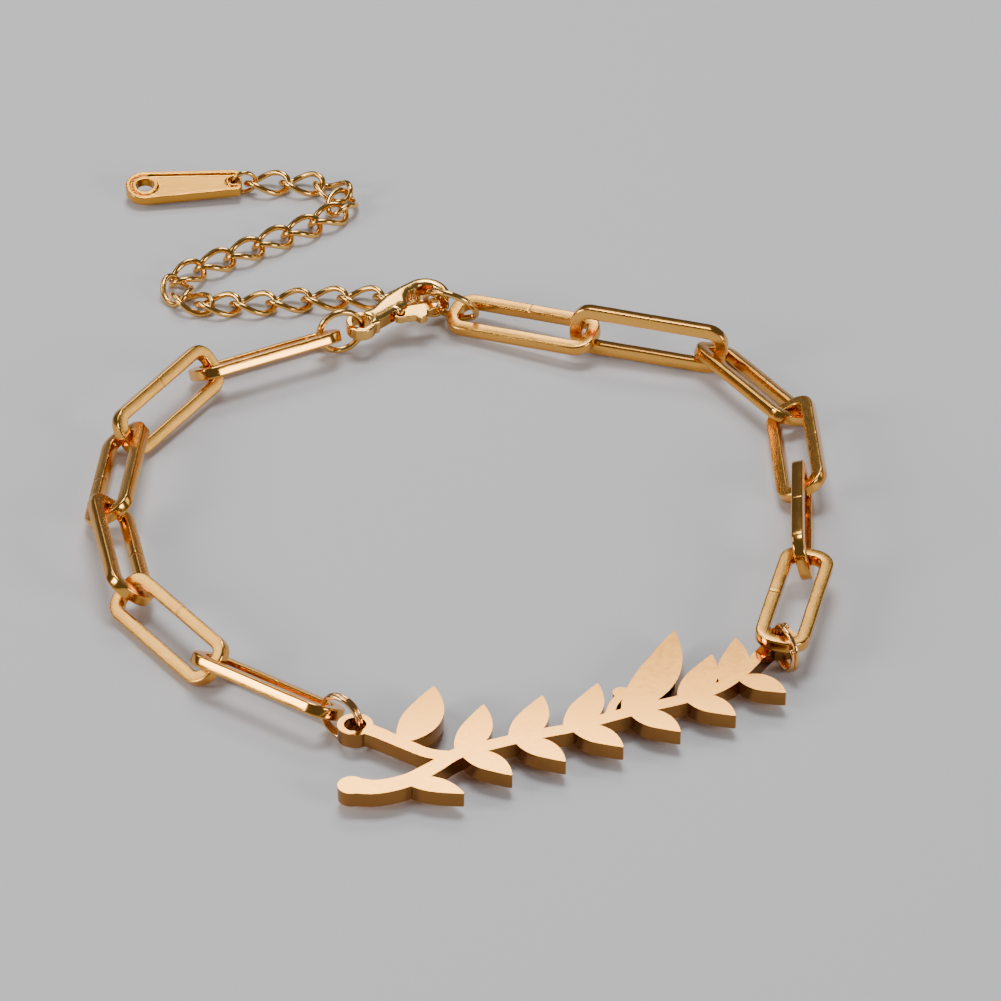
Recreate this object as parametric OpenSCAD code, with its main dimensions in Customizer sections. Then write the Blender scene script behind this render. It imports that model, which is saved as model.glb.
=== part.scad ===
// Bracelet with a cut-out sprig plate, long flat links, a lobster clasp and an adjusting chain.
// It lies closed on its resting surface. Millimetres, z up, resting surface at z = 0.

/* [Piece] */
// Piece to show

/* [Long links] */
// Length of a long link over all
link_length = 12; // [8:0.1:20]
// Width of a long link over all
link_width = 3.85; // [3:0.05:7]
// Width of the bar that a long link is made of
bar_width = 0.94; // [0.6:0.02:1.4]
// Thickness of that bar
bar_thickness = 0.85; // [0.5:0.01:1.3]
// Cut-off on the bar's long edges
bar_chamfer = 0.14; // [0.05:0.01:0.25]
// Outer corner radius of a long link
link_corner = 1.55; // [1.2:0.05:2]
// Play between two joined long links
link_play = 0.2; // [0.1:0.01:0.5]

/* [Plate] */
// Distance that the plate's pattern is drawn to
plate_span = 30; // [24:0.5:40]
// Thickness of the plate
plate_thickness = 1.1; // [0.8:0.05:2]
// Height of the plate's underside above the resting surface
plate_lift = 0.6; // [0.3:0.05:1]
// Hole in each lug of the plate
lug_hole = 1.55; // [1:0.05:2]
// Metal round each lug's hole
lug_wall = 0.45; // [0.3:0.05:0.8]

/* [Rings] */
// Outer diameter of the double rings at the plate
double_ring_outer = 3.5; // [3:0.1:5]
// Wire of the double rings
double_ring_wire = 0.34; // [0.25:0.01:0.5]
// Outer diameter of the ring at the clasp
clasp_ring_outer = 3.8; // [3.4:0.1:5]
// Outer diameter of the ring at the right end
end_ring_outer = 4.5; // [3.6:0.1:5]
// Wire of the ring at the clasp and of the one at the right end
ring_wire = 0.5; // [0.4:0.01:0.7]
// Outer diameter of the small ring at the tag
tag_ring_outer = 2.1; // [1.6:0.1:3]
// Wire of the small ring at the tag
tag_ring_wire = 0.34; // [0.25:0.01:0.5]

/* [Clasp] */
// Distance from the clasp's eye to the middle of its hook
clasp_reach = 5.8; // [5:0.1:9]
// Thickness of the clasp
clasp_thickness = 1.4; // [1.2:0.05:2.2]
// Hole of the eye
eye_hole = 1.3; // [1:0.05:2]
// Metal round the eye's hole
eye_wall = 0.5; // [0.4:0.02:0.8]
// Inner radius of the hook
hook_inner = 1.05; // [0.8:0.05:1.6]
// Metal of the hook
hook_wall = 0.75; // [0.6:0.05:1.2]
// Radius of the lever's rivet
rivet_radius = 0.26; // [0.2:0.01:0.5]
// Running clearance of the lever round the rivet
lever_clearance = 0.08; // [0.04:0.01:0.12]
// Room between the lever and the rest of the clasp
lever_gap = 0.13; // [0.1:0.01:0.2]

/* [Adjusting chain] */
// Length of a small link over all
small_length = 3.75; // [3:0.05:5]
// Width of a small link over all
small_width = 2.6; // [2:0.05:3.5]
// Wire of a small link
small_wire = 0.46; // [0.3:0.01:0.6]
// Play between two joined small links
small_play = 0.12; // [0.1:0.01:0.4]
// Twist of each end of a small link
small_twist = 45; // [30:1:55]

/* [Tag] */
// Distance between the tag's two holes
tag_reach = 7; // [5:0.1:10]
// Width of the tag at its round end
tag_width = 3; // [2.4:0.1:4]
// Width of the tag at its ring end
tag_end_width = 2.2; // [1.8:0.1:3]
// Thickness of the tag
tag_thickness = 0.8; // [0.5:0.05:1.2]
// Hole at the round end
tag_big_hole = 1.35; // [1:0.05:2]
// Hole for the small ring
tag_small_hole = 0.85; // [0.6:0.05:1.2]
// Width of the tag's rim
tag_rim = 0.34; // [0.2:0.02:0.6]
// Depth of the tag's bare field
tag_recess = 0.18; // [0.05:0.01:0.3]

/* [Hidden] */
$fn = 48;
// Where the middle of the laid-out bracelet is, taken off every place
middle = [-3.14, 3.38];
link_pitch = link_length - 2 * bar_width - link_play;
small_pitch = small_length - 2 * small_wire - small_play;
// Width inside each ring, which its metal neighbours share
name_ring_inner = double_ring_outer - 2 * double_ring_wire;
clasp_ring_inner = clasp_ring_outer - 2 * ring_wire;
end_ring_inner = end_ring_outer - 2 * ring_wire;
tag_ring_inner = tag_ring_outer - 2 * tag_ring_wire;

// Where a ring's middle lies, and where the next run or piece starts, as shares of the ring's
// inner width. At the plate they are taken from the lug, at the clasp from the left run's end
// and the hook, and at the tag from the adjusting chain's end.
left_ring_at = [-0.349, 0.274];
left_run_at = [-0.727, 0.55];
right_ring_at = [0.123, -0.444];
right_run_at = [0, -0.372];
clasp_ring_at = [0.411, 0.085];
eye_at = [0.954, 0.268];
end_ring_at = [0.537, -0.052];
right_start_at = [0.789, -0.035];
small_start_at = [0.362, 0.265];
tag_ring_at = [-0.298, -0.21];
tag_hole_at = [-0.87, -0.302];

// Runs of links. A row holds heading, tilt about the link's length and rise, in degrees,
// then the lift, the shift along and the shift aside, all as shares of the bar's thickness,
// or of the wire's in the adjusting chain.
left_run = [
    [144.5, 33, -0.5, 0.4, 0, 0],
    [126, -39.5, 0, 0.05, -0.1, 0.2],
    [101.5, 39.5, -0.5, 0.6, 0, -0.1],
    [85.5, -33.5, -2, 0.35, -0.1, 0.2],
    [58.5, 53.5, 1, 0.25, 0.1, -0.35],
    [28, -30, 0, 0.3, -0.1, 0.1]
];
right_run = [
    [-23.5, 12, 4, 0.75, 0, 0],
    [-15, 87, -1.5, 0.15, -0.15, 0.45],
    [-57, -24, 0, 0.05, -0.7, 0.6],
    [-87.5, 32, 2, 0.2, -0.25, -0.1],
    [-92.5, -76, 2.5, 0.24, -0.05, 0],
    [-103, -4, 1.5, 1.95, -0.15, 0.4]
];
small_run = [
    [139.5, 9, -8, 0.52, 0.05, 0.55],
    [174, 4, -3, 0.25, -0.2, 0],
    [180, 0, 0, 0, 0, 0.1],
    [184, 0, 0, 0, 0, 0],
    [190, 0, 0, 0, 0, 0],
    [184, 0, 0, 0, 0, 0],
    [181, 0, 0, 0, -0.1, 0],
    [155.5, 3.5, 3, 0, -1.35, -0.25],
    [99.5, -1, 2, 0.05, -0.7, -0.45],
    [51.5, -1, 0.5, 0, -0.4, -0.45],
    [35, -0.5, 0.5, 0, -0.1, -0.3],
    [38, 0, 0, 0, -0.05, -0.1],
    [36.5, 0.5, 0, 0, -0.05, 0.05],
    [35.5, 0, 0, 0, -0.05, 0],
    [39, 1, 0, 0, -0.15, 0.35],
    [76.5, 1, -3, 0.09, -0.65, 0.6],
    [141.5, -4, -4.5, 0.05, -0.25, 0.2],
    [176.5, -2, -0.5, 0.05, 0.05, 0.1],
    [184, -5.5, 1, 0.2, 0, 0]
];

function dir(a) = [cos(a), sin(a)];

// Height of a long link's middle when it rests on its lower edge at a tilt.
function rest(tilt) = max(
    (link_width / 2 - bar_chamfer) * abs(sin(tilt)) + bar_thickness / 2 * cos(tilt),
    link_width / 2 * abs(sin(tilt)) + (bar_thickness / 2 - bar_chamfer) * cos(tilt)
);

// Where link i of a run starts, from the start of the run, and where the run ends.
function shift(row, size) = size * (row[4] * dir(row[0]) + row[5] * dir(row[0] + 90));
function run_point(run, step, size, i) =
    i == 0 ? shift(run[0], size)
    : run_point(run, step, size, i - 1) + step * dir(run[i - 1][0]) + shift(run[i], size);
function run_end(run, step, size) =
    let (n = len(run) - 1) run_point(run, step, size, n) + step * dir(run[n][0]);
function turned(v, a) = [v.x * cos(a) - v.y * sin(a), v.x * sin(a) + v.y * cos(a)];

// The loop: both runs leave the plate's lugs, and swing until the clasp just joins them.
plate_place = [-9.85, -28.85];
lug_right = [29.2, 9.9];
clasp_turn = [34.5, 9, 2.5];
right_lug = plate_place + plate_span / 30 * lug_right;
left_whole = name_ring_inner * left_run_at + run_end(left_run, link_pitch, bar_thickness);
right_whole = name_ring_inner * right_run_at - run_end(right_run, link_pitch, bar_thickness);
clasp_eye = clasp_ring_inner * eye_at;
clasp_hook = clasp_eye + clasp_reach * cos(clasp_turn.z) * dir(clasp_turn.x);
clasp_whole = clasp_hook + end_ring_inner * right_start_at;
function across(a) = right_lug + turned(right_whole, -a) - plate_place - turned(left_whole, a);
function closing(lo, hi, n) = let (m = (lo + hi) / 2)
    n == 0 ? m
    : norm(across(m)) > norm(clasp_whole) ? closing(lo, m, n - 1) : closing(m, hi, n - 1);
swing = closing(-20, 20, 30);
lean = atan2(across(swing).y, across(swing).x) - atan2(clasp_whole.y, clasp_whole.x);
function clasp_point(v) = plate_place + turned(left_whole, swing) + turned(v, lean);
small_end = clasp_hook + end_ring_inner * small_start_at
    + run_end(small_run, small_pitch, small_wire);

// Section of a long link's bar: width across, thickness up, long edges cut off.
module bar_section() {
    a = bar_width / 2;
    b = bar_thickness / 2;
    c = bar_chamfer;
    polygon([[a - c, -b], [a, c - b], [a, b - c], [a - c, b],
             [c - a, b], [-a, b - c], [-a, c - b], [c - a, -b]]);
}

// One long link, flat, its length along x.
module long_link() {
    r = link_corner - bar_width / 2;
    sx = link_length / 2 - link_corner;
    sy = link_width / 2 - link_corner;
    for (q = [[sx, sy, 0], [-sx, sy, 90], [-sx, -sy, 180], [sx, -sy, 270]])
        translate([q.x, q.y, 0]) rotate([0, 0, q.z])
            rotate_extrude(angle = 90) translate([r, 0]) bar_section();
    for (s = [1, -1]) {
        translate([-sx, s * (sy + r), 0]) rotate([90, 0, 90])
            linear_extrude(height = 2 * sx) bar_section();
        translate([s * (sx + r), sy, 0]) rotate([90, 0, 0])
            linear_extrude(height = 2 * sy) bar_section();
    }
}

module placed(p, heading, tilt, rise) {
    translate([p.x - middle.x, p.y - middle.y, p.z])
        rotate([0, 0, heading]) rotate([0, -rise, 0]) rotate([tilt, 0, 0]) children();
}

// Long link i of a run that starts at a lug plus first, and has swung by a degrees.
module run_link(run, lug, first, a, i) {
    r = run[i];
    v = run_point(run, link_pitch, bar_thickness, i) + link_pitch / 2 * dir(r[0]);
    p = lug + turned(first + v, a);
    z = rest(r[1]) + r[3] * bar_thickness;
    color("gold") placed([p.x, p.y, z], r[0] + a, r[1], r[2]) long_link();
}

// A plain round ring lying flat.
module ring(outer, wire) {
    rotate_extrude() translate([(outer - wire) / 2, 0]) circle(d = wire);
}

// A double ring: two turns of wire side by side, soldered together.
module double_ring() {
    rotate_extrude() for (s = [1, -1])
        translate([(double_ring_outer - double_ring_wire) / 2, s * double_ring_wire * 0.46])
            circle(d = double_ring_wire);
}

// Smooth curve through rows of [x, y, half width].
function blend(a, b, c, d, t) =
    0.5 * (2 * b + (c - a) * t + (2 * a - 5 * b + 4 * c - d) * t * t
    + (3 * b - a - 3 * c + d) * t * t * t);
function smooth(rows, n) = let (m = len(rows) - 1) concat(
    [for (i = [0:m - 1]) for (k = [0:n - 1])
        blend(rows[max(i - 1, 0)], rows[i], rows[i + 1], rows[min(i + 2, m)], k / n)],
    [rows[m]]
);
function edge(p, s) = let (m = len(p) - 1) [for (i = [0:m])
    let (a = p[max(i - 1, 0)], b = p[min(i + 1, m)], v = [b.x - a.x, b.y - a.y], u = v / norm(v))
    [p[i].x - s * u.y * p[i].z, p[i].y + s * u.x * p[i].z]];

// Twigs of the plate's sprig. A row holds x, y and half width, in thirtieths of the span, from
// the middle of the left lug's hole.
sprig_stem = [
    [-0.1, -6.7, 0.85], [1.6, -6.9, 0.75], [3.6, -6.2, 0.68], [5.3, -4.8, 0.6], [7, -3.2, 0.56],
    [9.4, -2.2, 0.54], [12, -1.2, 0.52], [14.6, -0.4, 0.5], [17.2, 0.8, 0.5], [19.8, 1.9, 0.5],
    [22.4, 2.9, 0.5], [24.8, 4.2, 0.5], [26.5, 6.1, 0.48], [27.9, 8.3, 0.45], [28.8, 9.5, 0.45]
];
sprig_arm = [[0.5, -0.3, 0.6], [1.7, -1, 0.55], [3.4, -2.2, 0.5], [5, -3.2, 0.5], [6.6, -3.5, 0.5]];
// Leaves of the sprig: x and y of the foot, x and y of the tip, half width, bow.
sprig_leaves = [
    [3, -2, 5.3, 4.3, 1.35, -0.5],
    [6.9, -3.2, 8.7, 2.2, 1.1, -0.4],
    [10.5, -1.9, 12.7, 3.2, 1.1, -0.4],
    [14.2, -0.6, 16.5, 4.6, 1.1, -0.4],
    [18.1, 1.2, 21.9, 10.7, 1.45, -0.7],
    [22, 2.7, 24.4, 7.9, 1.1, -0.4],
    [25, 4.4, 26.1, 9.8, 1.05, -0.4],
    [3.4, -6.3, 7.4, -7.6, 0.8, 0.3],
    [7.2, -3.2, 10.6, -5.6, 0.95, 0.35],
    [10.8, -1.8, 14.2, -4.1, 0.95, 0.35],
    [14.6, -0.4, 18.1, -2.5, 0.95, 0.35],
    [18.6, 1.3, 22, -0.8, 0.95, 0.35],
    [22.4, 2.9, 25.8, 1, 0.95, 0.35],
    [26.1, 5.2, 29.3, 3.6, 0.9, 0.3]
];
sprig_berries = [[-0.1, -6.7, 0.95], [18.1, 3.6, 0.6]];

// Leaf from its foot to its tip, widest a little below the middle.
function leaf(r) = let (a = [r[0], r[1]], b = [r[2], r[3]], v = b - a,
                        u = [-v.y, v.x] / norm(v)) [for (i = [0:10])
    let (t = i / 10, c = a + t * v + r[5] * sin(180 * t) * u)
    [c.x, c.y, 0.06 + (r[4] - 0.06) * pow(sin(180 * pow(t, 0.85)), 0.9)]];

module stroke(rows, n = 5) {
    p = smooth(rows, n);
    q = edge(p, -1);
    polygon(concat(edge(p, 1), [for (i = [len(q) - 1:-1:0]) q[i]]));
}

module lug() {
    circle(d = lug_hole + 2 * lug_wall);
}

module sprig_shape() {
    u = plate_span / 30;
    difference() {
        union() {
            scale(u) {
                stroke(sprig_stem);
                stroke(sprig_arm);
                for (r = sprig_leaves) stroke(leaf(r), 2);
                for (d = sprig_berries) translate([d.x, d.y]) circle(r = d.z);
                stroke([[17.2, 0.8, 0.34], [17.5, 2.2, 0.3], [18.1, 3.4, 0.3]], 3);
            }
            lug();
            translate(u * lug_right) lug();
        }
        circle(d = lug_hole);
        translate(u * lug_right) circle(d = lug_hole);
    }
}

module nameplate() {
    color("gold") placed([plate_place.x, plate_place.y, plate_lift], 0, 0, 0)
        linear_extrude(height = plate_thickness) offset(delta = -0.02) offset(delta = 0.02) sprig_shape();
}

// Each ring: middle, then heading, tilt and rise of its plane.
module ring_name_left() {
    p = plate_place + turned(name_ring_inner * left_ring_at, swing);
    color("gold") placed([p.x, p.y, double_ring_outer / 2 + 0.01], swing - 34.5, 88.5, 18)
        double_ring();
}

module ring_name_right() {
    p = right_lug + turned(name_ring_inner * right_ring_at, -swing);
    color("gold") placed([p.x, p.y, double_ring_outer / 2 + 0.01], 109 - swing, 89.5, 4)
        double_ring();
}

module ring_clasp() {
    p = clasp_point(clasp_ring_inner * clasp_ring_at);
    color("gold") placed([p.x, p.y, clasp_ring_outer / 2 + 0.06], 18 + lean, 90, 2)
        ring(clasp_ring_outer, ring_wire);
}

module ring_end() {
    p = clasp_point(clasp_hook + end_ring_inner * end_ring_at);
    z = (end_ring_outer - ring_wire) / 2 * sin(57.5) + ring_wire / 2 + 0.01;
    color("gold") placed([p.x, p.y, z], 158.5 + lean, 57.5, 0.5) ring(end_ring_outer, ring_wire);
}

module ring_tag() {
    p = clasp_point(small_end + tag_ring_inner * tag_ring_at);
    color("gold") placed([p.x, p.y, tag_ring_outer / 2 + 0.01], 8.5 + lean, 93.5, 0)
        ring(tag_ring_outer, tag_ring_wire);
}

// Clasp, flat, its eye's hole at the origin and its hook towards x. Its outline is drawn for a
// reach of 6.7 and grows with it.
grow = clasp_reach / 6.7;
lever_pivot = grow * [3.6, -0.65];
slot = clasp_thickness * 0.46;

module clasp_placed() {
    p = clasp_point(clasp_eye);
    placed([p.x, p.y, clasp_ring_outer / 2 + 0.17], clasp_turn.x + lean, clasp_turn.y,
        clasp_turn.z) children();
}

module hook_sector(r) {
    // Everything below the hook's mouth that the gate leaves open
    polygon([[0, 0], [r * cos(-52), r * sin(-52)], [0, -1.5 * r], [-2 * r, -1.5 * r],
             [-2 * r, -0.25 * r]]);
}

module clasp_shape() {
    ro = hook_inner + hook_wall;
    g = grow;
    c = clasp_reach;
    difference() {
        union() {
            translate([c, 0]) circle(r = ro);
            polygon([[0.5, 0.72], [1.8 * g, 0.95 * g], [3.5 * g, ro - 0.45 * g],
                     [5.1 * g, ro - 0.1 * g], [c, ro], [c, 0], [4.4 * g, -1.3 * g],
                     [3.7 * g, -1.5 * g], [2.8 * g, -1.45 * g], [1.8 * g, -1.05 * g],
                     [0.5, -0.72]]);
        }
        translate([c, 0]) circle(r = hook_inner);
        translate([c, 0]) hook_sector(ro + 0.5);
        translate([c - g, 0]) polygon([[0, hook_inner * 0.9], [-0.7 * g, 0.5 * g],
                                       [-g, -0.1 * g], [-g, -g], [0.4 * g, -g],
                                       [0.4 * g, hook_inner * 0.9]]);
    }
}

module clasp_body() {
    color("gold") clasp_placed() {
        difference() {
            union() {
                translate([0, 0, -clasp_thickness / 2])
                    linear_extrude(height = clasp_thickness) clasp_shape();
                cylinder(h = clasp_thickness * 0.7, r = eye_hole / 2 + eye_wall, center = true);
            }
            cylinder(h = 4, d = eye_hole, center = true);
            translate([lever_pivot.x - 0.85 * grow, -3, -slot / 2 - lever_gap])
                cube([5, 3 + 0.35 * grow, slot + 2 * lever_gap]);
        }
        translate([lever_pivot.x, lever_pivot.y, 0])
            cylinder(h = clasp_thickness + 0.08, r = rivet_radius, center = true);
    }
}

module lever_shape() {
    scale(grow) union() {
        circle(r = 0.6);
        polygon([[-0.2, 0.45], [1.2, 0.42], [2.4, 0], [3.45, -0.45], [3.5, -0.7], [3.15, -1.02],
                 [2.2, -1], [1.8, -1.5], [1.2, -1.55], [1, -0.95], [-0.2, -0.45]]);
    }
}

module clasp_lever() {
    color("gold") clasp_placed()
        translate([lever_pivot.x, lever_pivot.y, 0]) difference() {
            translate([0, 0, -slot / 2]) linear_extrude(height = slot)
                offset(delta = -0.01) offset(delta = 0.01) lever_shape();
            cylinder(h = 4, r = rivet_radius + lever_clearance, center = true);
        }
}

// Tag, flat, its big hole at the origin and its ring end towards x.
module tag_shape(inset) {
    hull() {
        circle(r = tag_width / 2 - inset);
        for (s = [1, -1]) translate([tag_reach, s * (tag_end_width / 2 - 0.5)])
            circle(r = 0.5 - inset);
    }
}

tag_hole = tag_reach - 0.1;

module end_tag() {
    p = clasp_point(small_end + tag_ring_inner * tag_hole_at) - tag_hole * dir(5.5 + lean);
    color("gold") placed([p.x, p.y, 0.98], 5.5 + lean, 12, 0.5) difference() {
        translate([0, 0, -tag_thickness / 2]) linear_extrude(height = tag_thickness) tag_shape(0);
        translate([0, 0, tag_thickness / 2 - tag_recess])
            linear_extrude(height = 1) difference() {
                tag_shape(tag_rim);
                circle(d = tag_big_hole + 2 * tag_rim);
                translate([tag_hole, 0]) circle(d = tag_small_hole + 1.1 * tag_rim);
            }
        cylinder(h = 4, d = tag_big_hole, center = true);
        translate([tag_hole, 0]) cylinder(h = 4, d = tag_small_hole, center = true);
    }
}

// One small link, flat at its middle, each end twisted about its length.
small_rings = 24;
small_sides = 6;
function small_point(t) =
    let (a = (small_length - small_wire) / 2, b = (small_width - small_wire) / 2,
         x = a * cos(t), y = b * sin(t), w = small_twist * cos(t))
    [x, y * cos(w), y * sin(w)];

module small_link() {
    n = small_rings;
    m = small_sides;
    points = [for (i = [0:n - 1]) let (
        t = i * 360 / n,
        p = small_point(t),
        d = small_point(t + 1) - small_point(t - 1),
        u = d / norm(d),
        v0 = cross([0, 0, 1], u),
        v = v0 / norm(v0),
        w = cross(u, v))
        for (k = [0:m - 1]) p + small_wire / 2 * (cos(k * 360 / m) * v + sin(k * 360 / m) * w)];
    faces = [for (i = [0:n - 1]) for (k = [0:m - 1]) let (
        j = (i + 1) % n,
        l = (k + 1) % m)
        for (f = [[i * m + k, i * m + l, j * m + l], [i * m + k, j * m + l, j * m + k]]) f];
    polyhedron(points, faces);
}

// Height of a small link's middle when it lies on the surface.
small_rest = max([for (t = [0:5:90]) small_point(t).z]) + small_wire / 2 + 0.015;

module extender_link(i) {
    r = small_run[i];
    v = run_point(small_run, small_pitch, small_wire, i) + small_pitch / 2 * dir(r[0]);
    p = clasp_point(clasp_hook + end_ring_inner * small_start_at + v);
    color("gold") placed([p.x, p.y, small_rest + r[3] * small_wire], r[0] + lean, r[1], r[2])
        small_link();
}

nameplate();
ring_name_left();
ring_name_right();
ring_clasp();
ring_end();
ring_tag();
clasp_body();
clasp_lever();
end_tag();
for (i = [1:6])
    run_link(left_run, plate_place, name_ring_inner * left_run_at, swing, i - 1);
for (i = [1:6])
    run_link(right_run, right_lug, right_whole, -swing, i - 1);
for (i = [1:19])
    extender_link(i - 1);
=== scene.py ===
import math

import bpy
import numpy as np
from mathutils import Matrix, Vector, kdtree, noise


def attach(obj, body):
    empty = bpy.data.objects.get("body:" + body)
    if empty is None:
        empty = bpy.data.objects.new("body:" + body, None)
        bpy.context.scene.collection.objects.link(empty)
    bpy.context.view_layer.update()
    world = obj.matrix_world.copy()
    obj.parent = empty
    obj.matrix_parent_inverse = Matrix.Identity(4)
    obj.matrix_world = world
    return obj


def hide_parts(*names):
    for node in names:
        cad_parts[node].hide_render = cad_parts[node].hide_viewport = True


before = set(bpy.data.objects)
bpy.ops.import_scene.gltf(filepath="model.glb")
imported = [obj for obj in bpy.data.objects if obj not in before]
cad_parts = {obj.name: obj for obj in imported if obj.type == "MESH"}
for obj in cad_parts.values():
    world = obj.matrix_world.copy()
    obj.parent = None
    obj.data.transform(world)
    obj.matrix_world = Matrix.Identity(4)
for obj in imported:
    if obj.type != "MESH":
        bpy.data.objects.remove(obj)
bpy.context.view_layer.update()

# Sizes are in millimetres and angles in degrees, unless a comment says otherwise. MM turns
# millimetres into metres.
MM = 0.001
BODY = "bracelet"
LINKS_A_SIDE, CHAIN_LINKS = 6, 19

# Long links of a bar with rounded edges. A soldered seam crosses the middle of one long side:
# it thins the bar by the share SEAM_DEPTH, out to SEAM_REACH, and is made of the cross-sections
# at SEAM_POINTS, with no others nearer than SEAM_CLEAR.
LINK_LENGTH, LINK_WIDTH, LINK_CORNER = 12.0, 3.85, 1.55
BAR_WIDTH, BAR_THICKNESS, BAR_EDGE = 0.94, 0.85, 0.15
SEAM_POINTS = (-0.22, -0.12, -0.06, 0, 0.06, 0.12, 0.22)
SEAM_REACH, SEAM_CLEAR, SEAM_DEPTH = 0.1, 0.4, 0.035
SEAM_SIDE_POINTS, PLAIN_SIDE_POINTS, CORNER_STEPS = 15, 13, 10

# Small links: SMALL_SEAM is the wire's thickness at its seam, as a share of SMALL_WIRE
SMALL_LENGTH, SMALL_WIDTH, SMALL_WIRE, SMALL_TWIST = 3.75, 2.6, 0.46, 45
SMALL_RINGS, SMALL_SIDES, SMALL_SEAM = 56, 14, 0.93

# Unevenness of hand-worked metal: how far a surface wanders, how often, and the step in the
# noise from one link to the next. Links of the right side count on from RIGHT_SIDE_SEED.
LINK_WANDER, LINK_RATE, LINK_STEP = 0.014, 0.45, 7.3
SMALL_WANDER, SMALL_RATE, SMALL_STEP = 0.008, 0.9, 3.1
RIGHT_SIDE_SEED = 20
NOISE_SEED = 1

# Jump rings: outer diameter, wire and where the cut is. JUMP_CUT is the angle that the cut
# takes up, and JUMP_TAPER how thick the wire's ends are, as a share of the wire.
JUMP_RINGS = {"ring_clasp": (3.8, 0.5, 250), "ring_end": (4.5, 0.5, 30),
              "ring_tag": (2.1, 0.34, 40)}
JUMP_CUT, JUMP_TAPER, JUMP_STEPS, JUMP_SIDES = 2.4, 0.9, 60, 16

# Split rings: where each starts, outer diameter and wire, how far the wire runs round, where
# it starts to cross over and over what angle, and how far each turn lies from the middle
# plane, as a share of the wire
SPLIT_RINGS = {"ring_name_left": 200, "ring_name_right": 330}
DOUBLE_OUTER, DOUBLE_WIRE = 3.5, 0.34
SPLIT_TURN, CROSS_FROM, CROSS_OVER, TURN_APART = 652, 298, 60, 0.46
SPLIT_TAPER, SPLIT_STEPS, SPLIT_SIDES = 0.85, 120, 14

# Camera. It looks at AIM from the photograph's angle. AIM, the distance and how near and far
# it sees are in metres.
AIM = Vector((3.14, -3.38, 0)) * MM
CAMERA_DISTANCE, CAMERA_ELEVATION, LENS, SENSOR = 419 * MM, 35, 209.4, 36
CAMERA_NEAR, CAMERA_FAR = 0.01, 20

# Floor and surroundings: the floor is a square of twice its reach, a little under z = 0
FLOOR_REACH, FLOOR_DROP = 3000, 0.02
FLOOR_COLOUR, FLOOR_ROUGHNESS = (0.62, 0.62, 0.64), 0.6
SKY_COLOUR, SKY_STRENGTH = (0.80, 0.82, 0.86), 0.15

# Softboxes: azimuth from the right, elevation, distance and size in mm, radiance, colour
SOFTBOXES = {
    "back_panel": (97, 42, 480, (280, 110), 1.05, (1, 0.98, 0.95)),
    "plate_panel": (89, 45.2, 480, (200, 100), 5.5, (1, 0.98, 0.95)),
    "right_panel": (15, 14, 450, (200, 120), 1.8, (1, 0.98, 0.94)),
    "left_panel": (161, 36, 450, (200, 200), 2.6, (1, 0.98, 0.94)),
    "left_front": (203, 22, 450, (170, 130), 14.0, (1, 0.98, 0.95)),
    "right_front": (-38, 20, 450, (170, 130), 12.0, (0.97, 0.98, 1)),
    "overhead": (95, 72, 460, (200, 130), 14.0, (1, 1, 1)),
}


def surface(node):
    """Triangles of a CAD node, as an array of corners in metres."""
    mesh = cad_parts[node].data
    mesh.calc_loop_triangles()
    co = np.empty(len(mesh.vertices) * 3)
    mesh.vertices.foreach_get("co", co)
    tri = np.empty(len(mesh.loop_triangles) * 3, int)
    mesh.loop_triangles.foreach_get("vertices", tri)
    return co.reshape(-1, 3)[tri].reshape(-1, 3, 3)


def place_of(node, level=False):
    """Matrix to a CAD node's middle, x along its length and z through its thickness.
    With level=True, for a round ring, x is the level direction in its plane."""
    t = surface(node)
    area = np.linalg.norm(np.cross(t[:, 1] - t[:, 0], t[:, 2] - t[:, 0]), axis=1) / 2
    middle = (area[:, None] * t.mean(1)).sum(0) / area.sum()
    d = t - middle
    s = d.sum(1)
    # Second moments of the surface, exact for a triangle
    cov = np.einsum("n,nki,nkj->ij", area / 12, d, d) + np.einsum("n,ni,nj->ij", area / 12, s, s)
    axes = np.linalg.eigh(cov)[1]
    x, z = Vector(axes[:, 2]), Vector(axes[:, 0])
    if z.z < 0:
        z = -z
    if level:
        x = Vector((0, 0, 1)).cross(z)
    if x.x < 0:
        x = -x
    x = (x - x.dot(z) * z).normalized()
    y = z.cross(x)
    m = Matrix((x, y, z)).transposed().to_4x4()
    m.translation = Vector(middle)
    return m


def in_scene(obj):
    """Links an object into the scene and returns it."""
    bpy.context.scene.collection.objects.link(obj)
    return obj


def mesh_object(name, points, faces, smooth=True):
    """A new object from points in millimetres."""
    mesh = bpy.data.meshes.new(name)
    mesh.from_pydata([tuple(p) for p in np.asarray(points) * MM], [], faces)
    mesh.polygons.foreach_set("use_smooth", [smooth] * len(mesh.polygons))
    mesh.update()
    return in_scene(bpy.data.objects.new(name, mesh))


def tube_faces(rings, sides, closed):
    """Faces of a tube of so many rings and sides, a closed loop or one with flat ends."""
    faces = []
    for i in range(rings if closed else rings - 1):
        j = (i + 1) % rings
        for k in range(sides):
            n = (k + 1) % sides
            faces.append((i * sides + k, i * sides + n, j * sides + n, j * sides + k))
    if not closed:
        faces.append(tuple(range(sides))[::-1])
        faces.append(tuple((rings - 1) * sides + k for k in range(sides)))
    return faces


def rounded_section(a, b, r, steps=4):
    """Points round a bar's section, half sizes a and b, rounded edges."""
    points = []
    for sx, sy, start in ((1, 1, 0), (-1, 1, 90), (-1, -1, 180), (1, -1, 270)):
        for k in range(steps + 1):
            q = math.radians(start + 90 * k / steps)
            points.append((sx * (a - r) + r * math.cos(q), sy * (b - r) + r * math.sin(q)))
    return points


def round_section(r, sides):
    """Points round a wire's section."""
    return [(r * math.cos(2 * math.pi * k / sides), r * math.sin(2 * math.pi * k / sides))
            for k in range(sides)]


def wander(p, size, rate, offset):
    """The point p moved a little, by a smooth noise that differs from link to link."""
    return p + size * noise.noise_vector(p * rate + Vector((offset, 0, 0)))


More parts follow.
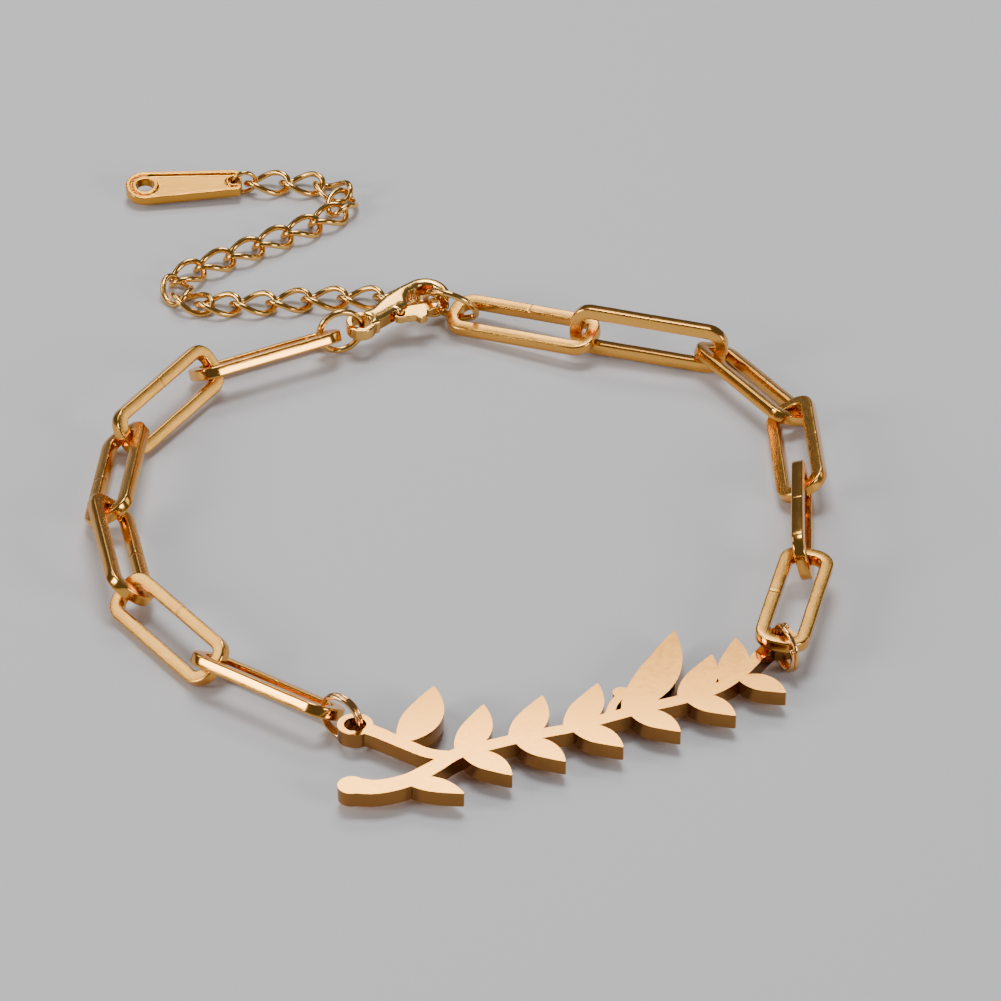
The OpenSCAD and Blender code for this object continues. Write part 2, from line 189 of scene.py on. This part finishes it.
def link_mesh(name, seed):
    """One long link with a little unevenness and a soldered seam in a long side."""
    r = LINK_CORNER - BAR_WIDTH / 2
    sx, sy = LINK_LENGTH / 2 - LINK_CORNER, LINK_WIDTH / 2 - LINK_CORNER
    side = sy + r
    # A row of the path holds x, y, the direction outwards and how deep the seam is there
    path = [(x, side, 0, 1, 0) for x in np.linspace(sx, -sx, SEAM_SIDE_POINTS)[1:-1]
            if abs(x) > SEAM_CLEAR]
    path += [(x, side, 0, 1, 1 - min(1, abs(x) / SEAM_REACH)) for x in SEAM_POINTS]
    path.sort(key=lambda row: -row[0])
    for cx, cy, start in ((-sx, sy, 90), (-sx, -sy, 180), (sx, -sy, 270), (sx, sy, 0)):
        for k in range(CORNER_STEPS + 1):
            q = math.radians(start + 90 * k / CORNER_STEPS)
            path.append((cx + r * math.cos(q), cy + r * math.sin(q), math.cos(q), math.sin(q), 0))
        if start == 180:
            path += [(x, -side, 0, -1, 0) for x in np.linspace(-sx, sx, PLAIN_SIDE_POINTS)[1:-1]]
    section = rounded_section(BAR_WIDTH / 2, BAR_THICKNESS / 2, BAR_EDGE)
    points = []
    for x, y, nx, ny, side_tone_and_shade in path:
        k = 1 - SEAM_DEPTH * side_tone_and_shade
        for u, v in section:
            p = Vector((x + k * u * nx, y + k * u * ny, k * v))
            points.append(wander(p, LINK_WANDER, LINK_RATE, seed * LINK_STEP))
    return mesh_object(name, points, tube_faces(len(path), len(section), True))


def small_link_mesh(name, seed):
    """One small twisted oval link of round wire, with a soldered seam in a long side."""
    a, b = (SMALL_LENGTH - SMALL_WIRE) / 2, (SMALL_WIDTH - SMALL_WIRE) / 2

    def at(t):
        w = math.radians(SMALL_TWIST) * math.cos(t)
        y = b * math.sin(t)
        return Vector((a * math.cos(t), y * math.cos(w), y * math.sin(w)))

    step = 0.01
    points = []
    for i in range(SMALL_RINGS):
        t = 2 * math.pi * i / SMALL_RINGS
        along = (at(t + step) - at(t - step)).normalized()
        v = Vector((0, 0, 1)).cross(along).normalized()
        w = along.cross(v)
        thin = SMALL_SEAM if i == SMALL_RINGS // 4 else 1
        for x, y in round_section(SMALL_WIRE / 2 * thin, SMALL_SIDES):
            p = at(t) + x * v + y * w
            points.append(wander(p, SMALL_WANDER, SMALL_RATE, seed * SMALL_STEP))
    return mesh_object(name, points, tube_faces(SMALL_RINGS, SMALL_SIDES, True))


def wire_ring(name, r, wire, steps, sides, taper, angle_at, height_at):
    """A ring of round wire with two ends. angle_at and height_at say, for a share of its
    length, how far round it is, in degrees, and how high."""
    points = []
    for i in range(steps):
        q = math.radians(angle_at(i / (steps - 1)))
        n = Vector((math.cos(q), math.sin(q), 0))
        h = height_at(i / (steps - 1))
        thin = taper if i in (0, steps - 1) else 1
        for u, v in round_section(wire / 2 * thin, sides):
            points.append(n * (r + u) + Vector((0, 0, h + v)))
    return mesh_object(name, points, tube_faces(steps, sides, False))


def ring_mesh(name, outer, wire, cut_at):
    """A jump ring of round wire, cut at one place."""
    return wire_ring(name, (outer - wire) / 2, wire, JUMP_STEPS, JUMP_SIDES, JUMP_TAPER,
                     lambda t: cut_at + JUMP_CUT / 2 + (360 - JUMP_CUT) * t, lambda t: 0)


def split_ring_mesh(name, start):
    """A split ring: nearly two turns of wire that cross over once."""
    apart = DOUBLE_WIRE * TURN_APART

    def height_at(t):
        k = min(1, max(0, (SPLIT_TURN * t - CROSS_FROM) / CROSS_OVER))
        return -apart + 2 * apart * k * k * (3 - 2 * k)

    return wire_ring(name, (DOUBLE_OUTER - DOUBLE_WIRE) / 2, DOUBLE_WIRE, SPLIT_STEPS,
                     SPLIT_SIDES, SPLIT_TAPER, lambda t: start + SPLIT_TURN * t, height_at)


def gold(name, light, side_tone_and_shade, face_rough, side_rough, scratch=(900, 9000, 9000), bump=0.10,
         cloud=160, clouded=0.25):
    """Gold-plated metal: satin flat faces with fine scratches and brighter polished sides.
    The two colours are those of the faces and of the sides. The sides' colour is a darker
    finish tone, and on the nameplate painted shade on its walls. scratch and cloud say how fine
    the scratches and the clouding are, per metre, and clouded is how strong it is."""
    mat = bpy.data.materials.new(name)
    mat.use_nodes = True
    tree = mat.node_tree

    def add(kind, inputs, **settings):
        """A shader node. An input is a value or another node's output."""
        node = tree.nodes.new("ShaderNode" + kind)
        for key, value in settings.items():
            setattr(node, key, value)
        for key, value in inputs.items():
            if isinstance(value, bpy.types.NodeSocket):
                tree.links.new(value, node.inputs[key])
            else:
                node.inputs[key].default_value = value
        return node

    # How much a point belongs to a flat face: 1 on the faces, 0 on the sides
    coord = add("TexCoord", {})
    parts = add("SeparateXYZ", {0: coord.outputs["Normal"]})
    up = add("Math", {0: parts.outputs["Z"]}, operation="ABSOLUTE")
    face = add("MapRange", {"From Min": 0.55, "From Max": 0.97, "Value": up.outputs[0]},
               interpolation_type="SMOOTHSTEP")
    # Two noises: fine scratches and a broad clouding
    mapping = add("Mapping", {"Scale": scratch, "Vector": coord.outputs["Object"]})
    fine = add("TexNoise", {"Scale": 1.0, "Detail": 5.0, "Roughness": 0.65,
                            "Vector": mapping.outputs[0]})
    broad = add("TexNoise", {"Scale": cloud, "Detail": 3.0, "Vector": coord.outputs["Object"]})
    # Colour: the side colour on the sides, light on the faces, clouded a little. On the nameplate
    # the side colour is painted shade on the walls; elsewhere it is a slightly darker finish
    # tone.
    mix = add("Mix", {"A": (*side_tone_and_shade, 1), "B": (*light, 1), "Factor": face.outputs[0]},
              data_type="RGBA")
    ramp = add("ValToRGB", {"Fac": broad.outputs["Fac"]})
    for stop, position, colour in zip(ramp.color_ramp.elements, (0.35, 0.65),
                                      ((0.72, 0.66, 0.58, 1), (1, 1, 1, 1))):
        stop.position = position
        stop.color = colour
    tint = add("Mix", {"Factor": clouded, "A": mix.outputs["Result"], "B": ramp.outputs["Color"]},
               data_type="RGBA", blend_type="MULTIPLY")
    # Roughness: satin faces, polished sides, both varied by the fine scratches
    rough = add("MapRange", {"To Min": side_rough, "To Max": face_rough,
                             "Value": face.outputs[0]})
    vary = add("MapRange", {"From Min": 0.3, "From Max": 0.7, "To Min": 0.75, "To Max": 1.3,
                            "Value": fine.outputs["Fac"]})
    times = add("Math", {0: rough.outputs[0], 1: vary.outputs[0]}, operation="MULTIPLY")
    relief = add("Bump", {"Strength": bump, "Distance": 0.04 * MM, "Height": fine.outputs["Fac"]})
    bsdf = tree.nodes["Principled BSDF"]
    bsdf.inputs["Metallic"].default_value = 1.0
    tree.links.new(tint.outputs["Result"], bsdf.inputs["Base Color"])
    tree.links.new(times.outputs[0], bsdf.inputs["Roughness"])
    tree.links.new(relief.outputs[0], bsdf.inputs["Normal"])
    return mat


LINK_GOLD = gold("link_gold", (0.95, 0.48, 0.10), (0.80, 0.39, 0.08), 0.25, 0.13, bump=0.08)
# The nameplate's walls are painted far darker than its top: painted shade on the walls.
PLATE_GOLD = gold("plate_gold", (1.0, 0.46, 0.09), (0.32, 0.145, 0.04), 0.105, 0.12,
                  scratch=(2500, 2500, 2500), bump=0.015, cloud=60, clouded=0.08)
RING_GOLD = gold("ring_gold", (0.93, 0.54, 0.22), (0.90, 0.51, 0.20), 0.13, 0.13,
                 scratch=(1500, 1500, 1500), bump=0.04)
CHAIN_GOLD = gold("chain_gold", (0.90, 0.52, 0.14), (0.85, 0.47, 0.12), 0.16, 0.16,
                  scratch=(1800, 1800, 1800), bump=0.05)
CLASP_GOLD = gold("clasp_gold", (0.95, 0.55, 0.15), (0.85, 0.48, 0.13), 0.15, 0.13,
                  scratch=(900, 900, 900), bump=0.05, cloud=500)
TAG_GOLD = gold("tag_gold", (0.80, 0.38, 0.06), (0.72, 0.34, 0.05), 0.22, 0.15,
                scratch=(1500, 6000, 3000), bump=0.06)


def dress(obj, node, material, body=BODY):
    """Gives a new piece its material and body and lets it stand for its CAD node."""
    obj.data.materials.append(material)
    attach(obj, body)
    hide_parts(node)


def finish_cad(node, material):
    """Gives a carried-over CAD node its material."""
    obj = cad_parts[node]
    obj.data.materials.clear()
    obj.data.materials.append(material)
    obj.data.polygons.foreach_set("use_smooth", [True] * len(obj.data.polygons))
    return obj


def soften(obj, voxel, rounds):
    """Cast look: the solid remeshed finely and smoothed. voxel is in mm."""
    m = obj.modifiers.new("cast", "REMESH")
    m.mode = "VOXEL"
    m.voxel_size = voxel * MM
    m.use_smooth_shade = True
    s = obj.modifiers.new("soft", "SMOOTH")
    s.factor = 0.5
    s.iterations = rounds


def ease(obj, width):
    """Rounded long edges, so many mm wide, on a cut plate."""
    d = obj.modifiers.new("flat", "DECIMATE")
    d.decimate_type = "DISSOLVE"
    d.angle_limit = math.radians(2)
    b = obj.modifiers.new("edges", "BEVEL")
    b.width = width * MM
    b.segments = 3
    b.limit_method = "ANGLE"
    b.angle_limit = math.radians(50)
    b.harden_normals = True
    w = obj.modifiers.new("even", "WEIGHTED_NORMAL")
    w.keep_sharp = True


def cast_mesh(node, voxel, rounds):
    """A copy of a CAD node's mesh, remeshed and smoothed as in soften."""
    rough = in_scene(bpy.data.objects.new(node + "_rough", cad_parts[node].data.copy()))
    soften(rough, voxel, rounds)
    bpy.context.view_layer.update()
    evaluated = rough.evaluated_get(bpy.context.evaluated_depsgraph_get())
    mesh = bpy.data.meshes.new_from_object(evaluated)
    bpy.data.objects.remove(rough)
    mesh.materials.clear()
    return mesh


def crowned(name, node, voxel, rounds, skin, edge, reach):
    """A casting made from a CAD node: rounded edges, and faces that fall towards their
    outline. Only what lies more than skin mm from the middle plane moves, down to the
    share edge of its height at the outline, over reach mm."""
    mesh = cast_mesh(node, voxel, rounds)
    place = place_of(node)
    mesh.transform(place.inverted())
    obj = in_scene(bpy.data.objects.new(name, mesh))
    obj.matrix_world = place
    count = len(mesh.vertices)
    co, normal = np.empty(count * 3), np.empty(count * 3)
    mesh.vertices.foreach_get("co", co)
    mesh.vertices.foreach_get("normal", normal)
    co, level = co.reshape(-1, 3) / MM, abs(normal.reshape(-1, 3)[:, 2])
    height = abs(co[:, 2])
    # The outline's wall: what isn't level, and lies more than top_margin mm under the top
    wall_level, top_margin = 0.5, 0.12
    wall = np.flatnonzero((level < wall_level) & (height > skin)
                          & (height < height.max() - top_margin))
    outline = kdtree.KDTree(len(wall))
    for i in wall:
        outline.insert((co[i, 0], co[i, 1], 0), int(i))
    outline.balance()
    for i in np.flatnonzero(height > skin):
        t = min(1, outline.find((co[i, 0], co[i, 1], 0))[2] / reach)
        share = math.sqrt(1 - (1 - t) ** 2 * (1 - edge ** 2))
        co[i, 2] = math.copysign(skin + (height[i] - skin) * share, co[i, 2])
    mesh.vertices.foreach_set("co", (co * MM).ravel())
    mesh.polygons.foreach_set("use_smooth", [True] * len(mesh.polygons))
    mesh.update()
    return obj


def softbox(name, azimuth, elevation, distance, size, radiance, colour):
    """An area light at an angle to the bracelet, aimed at it."""
    a, e = math.radians(azimuth), math.radians(elevation)
    data = bpy.data.lights.new(name, "AREA")
    data.shape = "RECTANGLE"
    data.size, data.size_y = size[0] * MM, size[1] * MM
    data.energy = radiance * math.pi * data.size * data.size_y
    data.color = colour
    obj = in_scene(bpy.data.objects.new(name, data))
    obj.location = AIM + distance * MM * Vector(
        (math.cos(a) * math.cos(e), math.sin(a) * math.cos(e), math.sin(e)))
    obj.rotation_euler = (AIM - obj.location).to_track_quat("-Z", "Y").to_euler()


def make_floor():
    """A plain pale floor just under the bracelet."""
    mat = bpy.data.materials.new("floor")
    mat.use_nodes = True
    bsdf = mat.node_tree.nodes["Principled BSDF"]
    bsdf.inputs["Base Color"].default_value = (*FLOOR_COLOUR, 1)
    bsdf.inputs["Roughness"].default_value = FLOOR_ROUGHNESS
    corners = [(x * FLOOR_REACH, y * FLOOR_REACH, -FLOOR_DROP)
               for x, y in ((-1, -1), (1, -1), (1, 1), (-1, 1))]
    floor = mesh_object("floor", corners, [(0, 1, 2, 3)], smooth=False)
    floor.data.materials.append(mat)


def make_surroundings():
    """A weak even light from all sides."""
    world = bpy.data.worlds.new("studio")
    bpy.context.scene.world = world
    world.use_nodes = True
    background = world.node_tree.nodes["Background"]
    background.inputs["Color"].default_value = (*SKY_COLOUR, 1)
    background.inputs["Strength"].default_value = SKY_STRENGTH


def make_camera():
    """The camera, in front of the bracelet and above it."""
    camera = in_scene(bpy.data.objects.new("camera", bpy.data.cameras.new("camera")))
    e = math.radians(CAMERA_ELEVATION)
    camera.location = AIM + CAMERA_DISTANCE * Vector((0, -math.cos(e), math.sin(e)))
    camera.rotation_euler = (math.pi / 2 - e, 0, 0)
    camera.data.lens = LENS
    camera.data.sensor_width = SENSOR
    camera.data.clip_start = CAMERA_NEAR
    camera.data.clip_end = CAMERA_FAR
    bpy.context.scene.camera = camera


# Without a seed the noise takes its start from the clock, and each run differs a little
noise.seed_set(NOISE_SEED)

# New pieces, each in its CAD node's place
for side in ("left", "right"):
    for i in range(1, LINKS_A_SIDE + 1):
        node = f"link_{side}_{i}"
        link = link_mesh(f"paperclip_{side}_{i}", i + (RIGHT_SIDE_SEED if side == "right" else 0))
        link.matrix_world = place_of(node)
        dress(link, node, LINK_GOLD)
for i in range(1, CHAIN_LINKS + 1):
    node = f"extender_link_{i}"
    link = small_link_mesh(f"chain_link_{i}", i)
    link.matrix_world = place_of(node)
    dress(link, node, CHAIN_GOLD)
for node, start in SPLIT_RINGS.items():
    ring = split_ring_mesh(node.replace("ring_", "split_ring_"), start)
    ring.matrix_world = place_of(node, level=True)
    dress(ring, node, RING_GOLD)
for node, row in JUMP_RINGS.items():
    ring = ring_mesh(node.replace("ring_", "jump_ring_"), *row)
    ring.matrix_world = place_of(node, level=True)
    dress(ring, node, CHAIN_GOLD)

clasp = crowned("clasp_cast", "clasp_body", voxel=0.05, rounds=24, skin=0.5, edge=0.1, reach=0.6)
dress(clasp, "clasp_body", CLASP_GOLD)

# CAD nodes that are kept, with their edges eased
ease(finish_cad("nameplate", PLATE_GOLD), width=0.1)
soften(finish_cad("end_tag", TAG_GOLD), voxel=0.05, rounds=6)
soften(finish_cad("clasp_lever", CLASP_GOLD), voxel=0.04, rounds=16)

make_floor()
make_surroundings()
for name, row in SOFTBOXES.items():
    softbox(name, *row)
make_camera()

bpy.context.view_layer.update()
